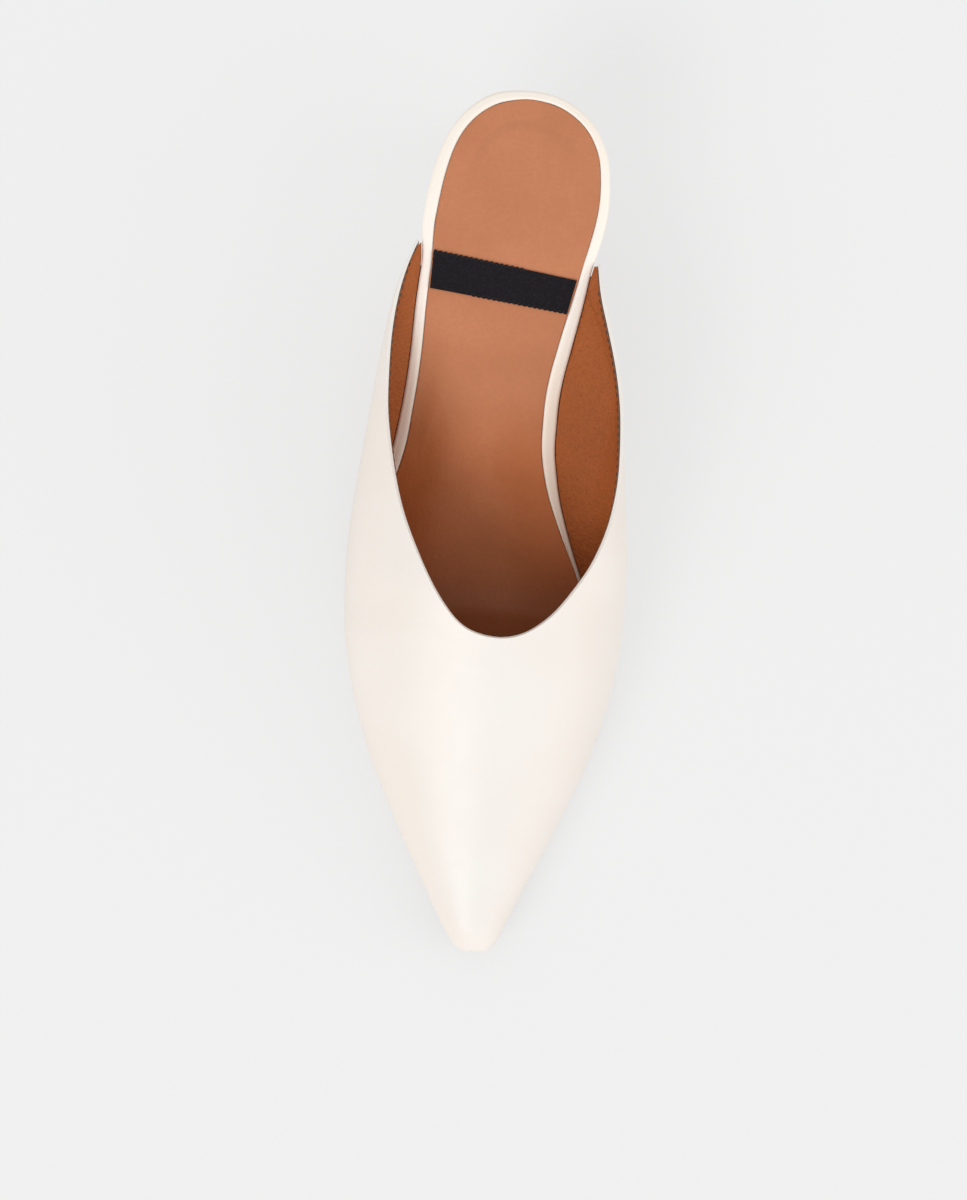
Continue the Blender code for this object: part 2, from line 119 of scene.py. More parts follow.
# Stage: place, size and power of each softbox, the point that they face, sky and floor
KEY_SOFTBOX = ((-2.35, -3.05, 3.45), 2.8, 106.0)
SIDE_SOFTBOX = ((3.75, -0.5, 2.0), 3.0, 50.0)
LAMP_AIM = (0.0, 0.0, 0.02)
SKY_LIGHT = 0.73
FLOOR_SIZE = 60.0
FLOOR_GLOW = 0.62

# Settings that the size properties share, and those that the colour properties share
IN_METRES = {"subtype": "DISTANCE", "unit": "LENGTH"}
AS_COLOUR = {"subtype": "COLOR", "size": 3, "min": 0.0, "max": 1.0}


class MuleSizes(bpy.types.PropertyGroup):
    """Sizes of the mule's leathers and edges."""

    skin_thickness: FloatProperty(
        name="Outer leather", description="Thickness of the upper's outer leather",
        default=0.00105, min=0.0005, max=0.002, **IN_METRES)
    lining_thickness: FloatProperty(
        name="Lining", description="Thickness of the lining leather",
        default=0.00045, min=0.0002, max=0.001, **IN_METRES)
    lining_gap: FloatProperty(
        name="Lining seam", description="Dark seam between the outer leather and its lining",
        default=0.00012, min=0.0, max=0.0005, **IN_METRES)
    lining_drop: FloatProperty(
        name="Lining drop", description="How far the lining's edge lies below the outer leather's edge",
        default=0.0003, min=0.0, max=0.002, **IN_METRES)
    lean_height: FloatProperty(
        name="Lining lean", description="Height over which the lining leans in to the rim",
        default=0.0075, min=0.001, max=0.02, **IN_METRES)
    pad_height: FloatProperty(
        name="Pad", description="Height of the soft pad under the sock",
        default=0.00055, min=0.0, max=0.001, **IN_METRES)
    pad_inset: FloatProperty(
        name="Pad inset", description="Distance of the pad's edge from the sock's edge",
        default=0.0058, min=0.002, max=0.01, **IN_METRES)
    rim_crown: FloatProperty(
        name="Rim crown", description="How far the wrapped rim bulges over the footbed",
        default=0.0003, min=0.0, max=0.001, **IN_METRES)
    rim_gap: FloatProperty(
        name="Rim gap", description="Gap between the lining's back and the footbed's edge",
        default=0.0002, min=0.0001, max=0.002, **IN_METRES)
    sock_level: FloatProperty(
        name="Sock level", description="Height of the sock's edge over the footbed",
        default=0.0004, min=0.0, max=0.001, **IN_METRES)
    stitch_pitch: FloatProperty(
        name="Label stitch", description="Pitch of the stitches along the tape's edges",
        default=0.00156, min=0.0008, max=0.004, **IN_METRES)
    seam_pitch: FloatProperty(
        name="Topline stitch", description="Pitch of the stitches that hold the lining",
        default=0.0024, min=0.001, max=0.005, **IN_METRES)


class MuleColours(bpy.types.PropertyGroup):
    """Colours of the mule's leathers and trims."""

    cream: FloatVectorProperty(
        name="Cream leather", description="Outer leather and heel cover",
        default=(0.815, 0.770, 0.722), **AS_COLOUR)
    rim: FloatVectorProperty(
        name="Rim leather", description="Leather wrapped round the footbed",
        default=(0.93, 0.855, 0.775), **AS_COLOUR)
    tan: FloatVectorProperty(
        name="Tan leather", description="Sock on the footbed",
        default=(0.599, 0.212, 0.108), **AS_COLOUR)
    lining: FloatVectorProperty(
        name="Lining leather", description="Lining inside the upper",
        default=(0.40, 0.108, 0.026), **AS_COLOUR)
    raw_edge: FloatVectorProperty(
        name="Raw edge", description="Cut edge of the lining at the topline",
        default=(0.20, 0.095, 0.055), **AS_COLOUR)
    tape: FloatVectorProperty(
        name="Tape", description="Woven tape across the sock",
        default=(0.0095, 0.0078, 0.0105), **AS_COLOUR)
    sole: FloatVectorProperty(
        name="Sole leather", description="Outsole",
        default=(0.30, 0.155, 0.08), **AS_COLOUR)
    tip: FloatVectorProperty(
        name="Heel tip", description="Top lift of the heel",
        default=(0.035, 0.030, 0.026), **AS_COLOUR)
    floor: FloatVectorProperty(
        name="Floor", description="Plain studio floor",
        default=(0.228, 0.228, 0.228), **AS_COLOUR)


def sizes():
    return bpy.context.scene.mule_sizes


def colours():
    return bpy.context.scene.mule_colours


def ease(part):
    """Share between 0 and 1 that starts and ends softly."""
    part = min(max(part, 0.0), 1.0)
    return part * part * (3.0 - 2.0 * part)


def only(piece):
    """Selects one piece alone and makes it active."""
    bpy.ops.object.select_all(action="DESELECT")
    piece.select_set(True)
    bpy.context.view_layer.objects.active = piece


def finish_modifier(piece, kind, **settings):
    """Adds a modifier with its settings and applies it."""
    only(piece)
    modifier = piece.modifiers.new(kind.title(), kind)
    for name, value in settings.items():
        setattr(modifier, name, value)
    bpy.ops.object.modifier_apply(modifier=modifier.name)


def soften(piece, width, segments=3, degrees=50.0):
    """Rounds the edges that turn by more than an angle."""
    finish_modifier(piece, "BEVEL", width=width, segments=segments, limit_method="ANGLE",
                    angle_limit=math.radians(degrees))


def placed(name, data):
    """A new object in the scene that holds a mesh, a light or a camera."""
    holder = bpy.data.objects.new(name, data)
    bpy.context.scene.collection.objects.link(holder)
    return holder


def free_edges(mesh):
    """Keys of the edges that only one face has."""
    uses = {}
    for polygon in mesh.polygons:
        for key in polygon.edge_keys:
            uses[key] = uses.get(key, 0) + 1
    return [key for key, count in uses.items() if count == 1]


def copy_of_node(node, name):
    """A merged copy of a solid, in quads, to be worked on as a piece of its own."""
    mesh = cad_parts[node].data.copy()
    mesh.name = name
    mesh.materials.clear()
    piece = placed(name, mesh)
    only(piece)
    bpy.ops.object.mode_set(mode="EDIT")
    bpy.ops.mesh.select_all(action="SELECT")
    bpy.ops.mesh.customdata_custom_splitnormals_clear()
    bpy.ops.mesh.remove_doubles(threshold=0.00001)
    bpy.ops.mesh.tris_convert_to_quads(face_threshold=math.radians(40), shape_threshold=math.radians(60))
    bpy.ops.object.mode_set(mode="OBJECT")
    return piece


def face_groups(piece, angle):
    """Sets of faces that meet at less than an angle, the largest area first."""
    mesh = piece.data
    neighbours = {}
    for polygon in mesh.polygons:
        for key in polygon.edge_keys:
            neighbours.setdefault(key, []).append(polygon.index)
    left = set(range(len(mesh.polygons)))
    groups = []
    while left:
        start = min(left)
        left.discard(start)
        group = {start}
        front = [start]
        while front:
            polygon = mesh.polygons[front.pop()]
            for key in polygon.edge_keys:
                for other in neighbours[key]:
                    if other in left and polygon.normal.angle(mesh.polygons[other].normal, 4.0) < angle:
                        left.discard(other)
                        group.add(other)
                        front.append(other)
        groups.append(group)
    groups.sort(key=lambda faces: -sum(mesh.polygons[index].area for index in faces))
    return groups


def keep_faces(piece, faces):
    """Deletes every face but these."""
    only(piece)
    bpy.ops.object.mode_set(mode="EDIT")
    bpy.ops.mesh.select_mode(type="FACE")
    bpy.ops.mesh.select_all(action="DESELECT")
    bpy.ops.object.mode_set(mode="OBJECT")
    for polygon in piece.data.polygons:
        polygon.select = polygon.index not in faces
    bpy.ops.object.mode_set(mode="EDIT")
    bpy.ops.mesh.delete(type="FACE")
    bpy.ops.object.mode_set(mode="OBJECT")


def smooth_shading(piece, degrees=40.0):
    only(piece)
    bpy.ops.object.shade_smooth_by_angle(angle=math.radians(degrees))


def through(rows, column, at):
    """Value of a table's column at a place, on a smooth curve through its rows."""
    index = 0
    while index < len(rows) - 2 and rows[index + 1][0] < at:
        index += 1
    (x0, y0), (x1, y1) = [(rows[k][0], rows[k][column]) for k in (index, index + 1)]
    step = x1 - x0
    straight = (y1 - y0) / step
    before = after = straight
    if index > 0:
        last = rows[index - 1]
        before = (y1 - last[column]) / (x1 - last[0])
    if index < len(rows) - 2:
        following = rows[index + 2]
        after = (following[column] - y0) / (following[0] - x0)
    part = (at - x0) / step
    if part < 0.0 or part > 1.0:
        return y0 + straight * (at - x0)
    curved = (part - 2.0 * part ** 2 + part ** 3) * before * step + (part ** 3 - part ** 2) * after * step
    return y0 + (3.0 * part ** 2 - 2.0 * part ** 3) * (y1 - y0) + curved


def rounded(points, steps):
    """A closed smooth curve through points, with the same number of steps between each two."""
    made = []
    count = len(points)
    for index in range(count):
        a, b, c, d = (points[(index + k) % count] for k in (-1, 0, 1, 2))
        t1 = (b - a).length ** 0.5
        t2 = t1 + (c - b).length ** 0.5
        t3 = t2 + (d - c).length ** 0.5
        for step in range(steps):
            t = t1 + (t2 - t1) * step / steps
            ab = a * ((t1 - t) / t1) + b * (t / t1)
            bc = b * ((t2 - t) / (t2 - t1)) + c * ((t - t1) / (t2 - t1))
            cd = c * ((t3 - t) / (t3 - t2)) + d * ((t - t2) / (t3 - t2))
            abc = ab * ((t2 - t) / t2) + bc * (t / t2)
            bcd = bc * ((t3 - t) / (t3 - t1)) + cd * ((t - t1) / (t3 - t1))
            made.append(abc * ((t2 - t) / (t2 - t1)) + bcd * ((t - t1) / (t2 - t1)))
    return made


def evenly(points, count):
    """Places spread evenly along a run of points, half a step in from its ends."""
    lengths = [(b - a).length for a, b in zip(points, points[1:])]
    whole = sum(lengths)
    made = []
    index, gone = 0, 0.0
    for k in range(count):
        want = whole * (k + 0.5) / count
        while gone + lengths[index] < want:
            gone += lengths[index]
            index += 1
        made.append(points[index].lerp(points[index + 1], (want - gone) / lengths[index]))
    return made


class Plan:
    """Outline and heights of a flat solid, read station by station along Y."""

    def __init__(self, node, bare):
        rows = {}
        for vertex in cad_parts[node].data.vertices:
            rows.setdefault(round(vertex.co.y, 5), []).append(vertex.co)
        places = sorted(rows)
        self.front, self.back = places[0], places[-1]
        self.rows = []
        for y in places:
            if self.front + bare < y < self.back - bare:
                xs = [co.x for co in rows[y]]
                zs = [co.z for co in rows[y]]
                self.rows.append((y, min(xs), max(xs), min(zs), max(zs)))
        ends = [self.end(*self.rows[:2]), self.end(*self.rows[:-3:-1])]
        right = [Vector((row[2], row[0])) for row in self.rows]
        left = [Vector((row[1], row[0])) for row in reversed(self.rows)]
        loop = rounded([ends[0], *right, ends[1], *left], OUTLINE_STEPS)
        turn = OUTLINE_STEPS * (len(right) + 1)
        self.halves = [loop[:turn + 1], (loop[turn:] + loop[:1])[::-1]]

    def end(self, last, before):
        """Tip of the round end that goes on from the last two stations."""
        half, wider = (0.5 * (row[2] - row[1]) for row in (last, before))
        run = half * half * (last[0] - before[0]) / (wider * wider - half * half)
        y = min(max(last[0] + run, self.front), self.back)
        return Vector((0.5 * (last[1] + last[2]), y))

    def ring(self, count):
        """Even points round the outline, counter-clockwise from the front, count on each side."""
        right, left = (evenly(half, count) for half in self.halves)
        return right + left[::-1]

    def width(self, y):
        return through(self.rows, 2, y) - through(self.rows, 1, y)

    def middle(self, y):
        return 0.5 * (through(self.rows, 2, y) + through(self.rows, 1, y))


def inward(ring):
    """Unit directions in from a counter-clockwise ring."""
    count = len(ring)
    made = []
    for index in range(count):
        tangent = (ring[(index + 1) % count] - ring[index - 1]).normalized()
        made.append(Vector((-tangent.y, tangent.x)))
    return made


def layered(name, plan, rings_at, height, reach):
    """A flat piece of rings inside an outline, each with its distance in and its height."""
    count = 2 * HALF_RING
    ring = plan.ring(HALF_RING)
    into = inward(ring)
    front_end = plan.front + 0.35 * plan.width(plan.front + 0.012)
    back_end = plan.back - 0.42 * plan.width(plan.back - 0.02)
    spine = []
    for index in range(count):
        partner = ring[count - 1 - index]
        y = min(max(0.5 * (ring[index].y + partner.y), front_end), back_end)
        spine.append(Vector((plan.middle(y), y)))
    room = [min(1.0, (spine[k] - ring[k]).length / (1.5 * reach)) for k in range(count)]
    verts = []
    for rows in rings_at(ring, into, room, spine):
        for place, level in rows:
            verts.append((place.x, place.y, height(place, level)))
    levels = len(verts) // count
    faces = []
    for level in range(levels - 1):
        for k in range(count):
            a, b = level * count + k, level * count + (k + 1) % count
            faces.append((a, b, b + count, a + count))
    top = (levels - 1) * count
    for k in range(HALF_RING - 1):
        other = count - 1 - k
        faces.append((top + k, top + k + 1, top + other - 1, top + other))
        faces.append((other, other - 1, k + 1, k))
    mesh = bpy.data.meshes.new(name)
    mesh.from_pydata(verts, [], faces)
    mesh.update()
    return placed(name, mesh)


def outer_shell(name):
    """The upper's outer face alone, as an open sheet whose faces point outwards."""
    piece = copy_of_node("upper", name)
    first, second = face_groups(piece, math.radians(48))[:2]
    mesh = piece.data

    def reach(faces):
        return max(mesh.polygons[index].center.x for index in faces)

    keep_faces(piece, first if reach(first) > reach(second) else second)
    finish_modifier(piece, "SUBSURF", levels=2, render_levels=2)
    for vertex in piece.data.vertices:
        vertex.co.y -= TOE_STRETCH * ease((TOE_FROM - vertex.co.y) / TOE_RUN)
    wall = piece.vertex_groups.new(name="wall")
    for vertex in piece.data.vertices:
        wall.add([vertex.index], wall_share(vertex.co), "REPLACE")
    return piece


def wall_share(place):
    """Share of the leathers' full thickness, which is pared thin at the seat."""
    return PARED_SHARE + (1.0 - PARED_SHARE) * ease((PARED_AT - place.y) / PARED_RUN)


class Finish:
    """A Principled material whose nodes are added by short calls."""

    def __init__(self, name, colour, roughness, **sockets):
        self.material = bpy.data.materials.new(name)
        self.material.use_nodes = True
        self.tree = self.material.node_tree
        self.surface = self.tree.nodes["Principled BSDF"]
        self.surface.inputs["Base Color"].default_value = (*colour, 1.0)
        self.surface.inputs["Roughness"].default_value = roughness
        for socket, value in sockets.items():
            self.surface.inputs[socket.replace("_", " ")].default_value = value
        self.place = self.tree.nodes.new("ShaderNodeTexCoord").outputs["Object"]
        self.relief = None

    def node(self, kind, links=(), **settings):
        node = self.tree.nodes.new(kind)
        for name, value in settings.items():
            setattr(node, name, value)
        for socket, source in links:
            self.tree.links.new(source, node.inputs[socket])
        return node

    def noise(self, size, detail, roughness=0.5, place=None):
        node = self.node("ShaderNodeTexNoise", [("Vector", place or self.place)])
        node.inputs["Scale"].default_value = 1.0 / size
        node.inputs["Detail"].default_value = detail
        node.inputs["Roughness"].default_value = roughness
        return node.outputs["Fac"]

    def cells(self, size, feature="F1"):
        node = self.node("ShaderNodeTexVoronoi", [("Vector", self.place)], feature=feature)
        node.inputs["Scale"].default_value = 1.0 / size
        return node.outputs["Distance"]

    def mapped(self, scale=(1.0, 1.0, 1.0), turn=0.0):
        node = self.node("ShaderNodeMapping", [("Vector", self.place)])
        node.inputs["Rotation"].default_value = (0.0, 0.0, turn)
        node.inputs["Scale"].default_value = scale
        return node.outputs["Vector"]

    def axes(self, vector=None):
        return self.node("ShaderNodeSeparateXYZ", [("Vector", vector or self.place)]).outputs

    def spread(self, value, low, high, to_low=0.0, to_high=1.0):
        node = self.node("ShaderNodeMapRange", [("Value", value)])
        node.inputs["From Min"].default_value = low
        node.inputs["From Max"].default_value = high
        node.inputs["To Min"].default_value = to_low
        node.inputs["To Max"].default_value = to_high
        return node.outputs["Result"]

    def math(self, operation, first, second=0.0):
        node = self.node("ShaderNodeMath", operation=operation)
        for socket, value in ((0, first), (1, second)):
            if isinstance(value, float):
                node.inputs[socket].default_value = value
            else:
                self.tree.links.new(value, node.inputs[socket])
        return node.outputs[0]

    def mark(self, name):
        return self.node("ShaderNodeAttribute", attribute_name=name).outputs["Fac"]

    def base(self):
        return self.surface.inputs["Base Color"].links[0].from_socket

    def blend(self, amount, first, second, kind="MIX"):
        node = self.node("ShaderNodeMix", data_type="RGBA", blend_type=kind)
        for socket, value in ((0, amount), (6, first), (7, second)):
            if isinstance(value, float):
                node.inputs[socket].default_value = value
            elif isinstance(value, tuple):
                node.inputs[socket].default_value = (*value, 1.0)
            else:
                self.tree.links.new(value, node.inputs[socket])
        return node.outputs[2]

    def colour(self, source):
        self.tree.links.new(source, self.surface.inputs["Base Color"])

    def roughness(self, source):
        self.tree.links.new(source, self.surface.inputs["Roughness"])

    def bump(self, height, depth):
        node = self.node("ShaderNodeBump", [("Height", height)])
        node.inputs["Distance"].default_value = depth
        node.inputs["Strength"].default_value = 1.0
        if self.relief is not None:
            self.tree.links.new(self.relief, node.inputs["Normal"])
        self.relief = node.outputs["Normal"]
        self.tree.links.new(self.relief, self.surface.inputs["Normal"])


def shade(colour, factor, warm=0.0):
    """A colour made darker or lighter, and warmer."""
    red, green, blue = colour
    return (min(red * factor, 1.0), min(green * factor * (1.0 - 0.4 * warm), 1.0),
            min(blue * factor * (1.0 - warm), 1.0))


def cream_leather(name, colour):
    """Fine dressed leather: faint clouds of colour, pores and a very light grain."""
    roughness, grain = 0.42, 0.0007
    finish = Finish(name, colour, roughness, Specular_IOR_Level=0.4, Coat_Weight=0.06, Coat_Roughness=0.25)
    clouds = finish.spread(finish.noise(0.045, 2.0), 0.35, 0.65)
    finish.colour(finish.blend(clouds, shade(colour, 0.985, 0.035), colour))
    pebbles = finish.cells(grain)
    pores = finish.noise(grain * 0.35, 2.0)
    finish.bump(finish.math("ADD", pebbles, finish.math("MULTIPLY", pores, 0.5)), 0.00003)
    finish.bump(finish.noise(0.012, 2.0), 0.00012)
    finish.roughness(finish.spread(finish.noise(0.006, 3.0), 0.3, 0.7, roughness - 0.04, roughness + 0.05))
    return finish


def tan_leather(name, colour, roughness, depth, specular):
    """Open tan leather with a visible grain and warmer patches."""
    grain = 0.0009
    finish = Finish(name, colour, roughness, Specular_IOR_Level=specular)
    clouds = finish.spread(finish.noise(0.018, 3.0), 0.3, 0.7)
    fine = finish.spread(finish.noise(0.0012, 4.0, 0.6), 0.3, 0.7)
    base = finish.blend(clouds, shade(colour, 0.94, 0.06), shade(colour, 1.03))
    finish.colour(finish.blend(finish.math("MULTIPLY", fine, 0.3), base, shade(colour, 0.80, 0.08)))
    pebbles = finish.cells(grain, feature="SMOOTH_F1")
    finish.bump(finish.math("ADD", pebbles, finish.noise(grain * 2.2, 3.0)), depth)
    finish.bump(finish.noise(grain * 0.3, 2.0), depth * 0.4)
    return finish


def lining_finish(colour):
    """Lining leather with open pores that gather dye."""
    finish = tan_leather("orange lining leather", colour, 0.62, 0.00025, 0.22)
    dark = finish.spread(finish.cells(0.0008), 0.0, 0.6, 0.6, 0.0)
    patches = finish.spread(finish.noise(0.0016, 4.0, 0.7), 0.36, 0.62)
    pores = finish.math("MULTIPLY", dark, patches)
    finish.colour(finish.blend(pores, finish.base(), shade(colour, 0.45, 0.2)))
    finish.bump(finish.noise(0.0016, 4.0, 0.65), 0.00022)
    return finish.material


def upper_finish(colour):
    """Cream leather of the upper, tinted by painted light: a little cooler where it faces up and warmer where
    it turns down at the sides.
    """
    red, green, blue = colour
    finish = cream_leather("cream upper leather", (1.0, 1.0, 1.0))
    # Painted light: the top is tinted cooler and the down-turned sides warmer, by which way the leather
    # faces.
    flat = (red * 0.987, green * 1.003, blue * 1.018)
    tint = finish.blend(finish.mark("turned"), flat, (red * 1.016, green * 0.998, blue * 0.985))
    finish.colour(finish.blend(1.0, finish.base(), tint, "MULTIPLY"))
    return finish.material


def rim_finish(colour):
    """Cream leather of the rim, with painted warm bounce light along the waist."""
    finish = cream_leather("cream rim leather", colour)
    # Painted bounce light: from the seat forward the rim is multiplied warmer, as light reflected from the
    # tan sock and lining.
    warm = finish.spread(finish.axes()["Y"], 0.065, 0.035)
    finish.colour(finish.blend(warm, finish.base(), (1.0, 0.93, 0.87), "MULTIPLY"))
    return finish.material


def sock_finish(colour):
    """Tan sock leather with soft lengthwise ridges, painted warm bounce light deep in the shoe and painted
    shade at its sides and under the throat.
    """
    finish = tan_leather("tan sock leather", colour, 0.6, 0.00006, 0.06)
    # Painted warm bounce light: where marked, the sock keeps more red and loses blue.
    tint = finish.blend(finish.mark("painted_bounce"), (0.893, 1.0, 1.0), (1.0, 1.0, 0.88))
    with_painted_bounce = finish.blend(1.0, finish.base(), tint, "MULTIPLY")
    # Painted shade: where marked, the sock is multiplied darker and warmer.
    finish.colour(finish.blend(finish.mark("painted_shade"), with_painted_bounce, (0.62, 0.384, 0.031), "MULTIPLY"))
    ridges = finish.noise(0.007, 2.0, 0.4, finish.mapped((1.0, 0.16, 1.0)))
    finish.bump(ridges, 0.0004)
    return finish.material


def woven_tape(name, colour):
    """Dull woven ribbon: warp and weft threads with a little sheen."""
    finish = Finish(name, colour, 0.85, Specular_IOR_Level=0.15, Sheen_Weight=0.06, Sheen_Roughness=0.5)
    threads = finish.axes(finish.mapped(turn=math.radians(8.0)))
    turn = 2.0 * math.pi
    warp = finish.math("SINE", finish.math("MULTIPLY", threads["X"], turn / 0.00042))
    weft = finish.math("SINE", finish.math("MULTIPLY", threads["Y"], turn / 0.00062))
    flecks = finish.spread(finish.noise(0.0006, 3.0), 0.5, 0.75)
    finish.colour(finish.blend(flecks, colour, tuple(channel * 2.2 + 0.003 for channel in colour)))
    finish.bump(finish.math("MULTIPLY", warp, weft), 0.00012)
    finish.bump(finish.noise(0.0004, 2.0), 0.00008)
    return finish.material


def plain(name, colour, roughness, specular, tones, factors, grain, depth):
    """Two shades of one colour and a fine grain, where tones and grain are noise of a size and detail."""
    finish = Finish(name, colour, roughness, Specular_IOR_Level=specular)
    finish.colour(finish.blend(finish.noise(*tones), *[shade(colour, factor) for factor in factors]))
    finish.bump(finish.noise(*grain), depth)
    return finish.material


def thread(name, colour):
    """Twisted thread."""
    return plain(name, colour, 0.6, 0.4, (0.0003, 2.0), (0.8, 1.2), (0.00015, 1.0), 0.00004)


def sole_leather(name, colour):
    """Burnished sole leather with long soft streaks."""
    finish = Finish(name, colour, 0.5, Specular_IOR_Level=0.4)
    streaks = finish.noise(0.004, 4.0, 0.6, finish.mapped((1.0, 0.25, 1.0)))
    tone = finish.spread(streaks, 0.3, 0.7)
    finish.colour(finish.blend(tone, shade(colour, 0.8, 0.1), shade(colour, 1.15)))
    finish.bump(finish.noise(0.0009, 3.0), 0.00008)
    finish.roughness(finish.spread(finish.noise(0.003, 2.0), 0.3, 0.7, 0.42, 0.62))
    return finish.material


def dull_rubber(name, colour):
    """Fine-pored moulded rubber."""
    return plain(name, colour, 0.72, 0.35, (0.0025, 3.0), (1.0, 1.5), (0.0005, 3.0), 0.00006)


def cut_edge(name, colour):
    """Fibrous cut edge of thin leather."""
    return plain(name, colour, 0.85, 0.2, (0.0008, 3.0), (0.8, 1.1), (0.0003, 2.0), 0.00006)


def studio_floor(name, colour, glow):
    """Plain matt floor lit from within, as on a light table, so that shadows stay faint."""
    finish = Finish(name, colour, 0.9, Specular_IOR_Level=0.1, Emission_Strength=glow)
    finish.surface.inputs["Emission Color"].default_value = (1.0, 1.0, 1.0, 1.0)
    tone = finish.spread(finish.noise(0.3, 1.0), 0.3, 0.7)
    finish.colour(finish.blend(tone, shade(colour, 0.998), colour))
    return finish.material


def dress(piece, slot, *materials):
    """Gives a finished piece its materials and body."""
    chosen = [polygon.material_index for polygon in piece.data.polygons]
    piece.data.materials.clear()
    for material in materials:
        piece.data.materials.append(material)
    if len(materials) > 1:
        piece.data.polygons.foreach_set("material_index", chosen)
    piece.vertex_groups.clear()
    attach(piece, "root")


def paint_faces(piece, number, wanted):
    """Gives the faces that pass a test another material number."""
    mesh = piece.data
    while len(mesh.materials) <= number:
        mesh.materials.append(None)
    for polygon in mesh.polygons:
        if wanted(polygon):
            polygon.material_index = number


class MULE_OT_upper(bpy.types.Operator):
    """Make the upper's outer leather"""

    bl_idname = "mule.upper"
    bl_label = "Upper"

    def execute(self, context):
        piece = outer_shell("upper_leather")
        finish_modifier(piece, "SOLIDIFY", thickness=sizes().skin_thickness, offset=-1.0,
                        use_even_offset=True, vertex_group="wall")
        soften(piece, 0.00042, 4, 55.0)
        smooth_shading(piece, 50.0)
        # How far each point turns down from facing up; it sets the painted light tint of the upper's finish.
        turned = piece.data.attributes.new("turned", "FLOAT", "POINT")
        for vertex in piece.data.vertices:
            turned.data[vertex.index].value = ease((1.0 - vertex.normal.z) / 0.34)
        dress(piece, "upper_leather", upper_finish(tuple(colours().cream)))
        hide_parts("upper")
        return {"FINISHED"}


def lean_to_rim(piece, rows):
    """Leans the foot of the lining in until it meets the footbed's rim."""
    vertices = piece.data.vertices
    tree = KDTree(len(rows))
    for number, index in enumerate(rows):
        co = vertices[index].co
        tree.insert((math.copysign(1.0, co.x - AXIS_X), co.y, 0.0), number)
    tree.balance()
    high = board_level("high")
    reach = sizes().lean_height
    for vertex in vertices:
        place = vertex.co
        if place.y < THROAT_Y:
            continue
        side = math.copysign(1.0, place.x - AXIS_X)
        edge = through(BOARD.rows, 2 if side > 0.0 else 1, place.y)
        above = place.z - high(place)
        rim = vertices[rows[tree.find((side, place.y, 0.0))[1]]].co.z
        free = 1.0
        if above > 0.0:
            free = ease((rim - place.z) / min(LEAN_FREE, max(rim - high(place), 0.001)))
        share = (1.0 - ease(above / reach)) * free * ease((place.y - THROAT_Y) / LEAN_RUN)
        gap = side * (place.x - edge) - sizes().rim_gap - sizes().lining_thickness * wall_share(place)
        vertex.co.x -= side * min(max(gap, 0.0), LEAN_MOST) * share


def topline(piece):
    """Vertices of the lining's free top edge, in order, from one wing to the other."""
    mesh = piece.data
    links = {}
    for first, second in free_edges(mesh):
        links.setdefault(first, []).append(second)
        links.setdefault(second, []).append(first)
    throat = Vector((AXIS_X, THROAT_Y, 0.052))
    start = min(links, key=lambda index: (mesh.vertices[index].co - throat).length)
    runs = []
    for step in links[start]:
        run = [start, step]
        while True:
            following = [index for index in links[run[-1]] if index != run[-2]][0]
            ahead = mesh.vertices[following].co - mesh.vertices[run[-1]].co
            if ahead.y < 0.0 and mesh.vertices[following].co.y > 0.05:
                break
            run.append(following)
        runs.append(run)
    return runs[0][::-1] + runs[1][1:]


def tuck_ends(piece):
    """Draws the lining's back ends in under the turned edge of the outer leather."""
    vertices = piece.data.vertices
    for side in (-1.0, 1.0):
        wing = [vertex for vertex in vertices if side * (vertex.co.x - AXIS_X) > 0.0]
        back = max(vertex.co.y for vertex in wing)
        for vertex in wing:
            vertex.co.y -= TUCK * (1.0 - ease((back - vertex.co.y) / TUCK_RUN))


def along_run(points, pitch):
    """Places and directions at an even pitch along a run of points."""
    made = []
    left = 0.5 * pitch
    for first, second in zip(points, points[1:]):
        step = (second - first).length
        if step == 0.0:
            continue
        direction = (second - first) / step
        while left <= step:
            made.append((first + direction * left, direction))
            left += pitch
        left -= step
    return made


def stitch_row(name, places, length, radius, material):
    """One stitch copied to every place, each turned along its direction and up its normal."""
    bpy.ops.object.select_all(action="DESELECT")
    bpy.ops.mesh.primitive_uv_sphere_add(segments=8, ring_count=6, radius=1.0, location=(0.0, 0.0, 0.0))
    model = bpy.context.active_object
    model.name = name
    base = model.data
    points = [vertex.co.copy() for vertex in base.vertices]
    faces = [tuple(polygon.vertices) for polygon in base.polygons]
    bpy.data.objects.remove(model, do_unlink=True)
    verts, made = [], []
    for place, direction, normal in places:
        across = direction.cross(normal).normalized()
        up = across.cross(direction).normalized()
        turned = Matrix((direction, across, up)).transposed()
        shift = len(verts)
        for point in points:
            shaped = Vector((point.x * 0.5 * length, point.y * radius, point.z * radius))
            verts.append(place + turned @ shaped)
        made += [tuple(index + shift for index in face) for face in faces]
    mesh = bpy.data.meshes.new(name)
    mesh.from_pydata(verts, [], made)
    piece = placed(name, mesh)
    only(piece)
    bpy.ops.object.mode_set(mode="EDIT")
    bpy.ops.mesh.select_all(action="SELECT")
    bpy.ops.mesh.normals_make_consistent(inside=False)
    bpy.ops.object.mode_set(mode="OBJECT")
    smooth_shading(piece, 180.0)
    mesh.materials.append(material)
    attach(piece, "root")
    return piece


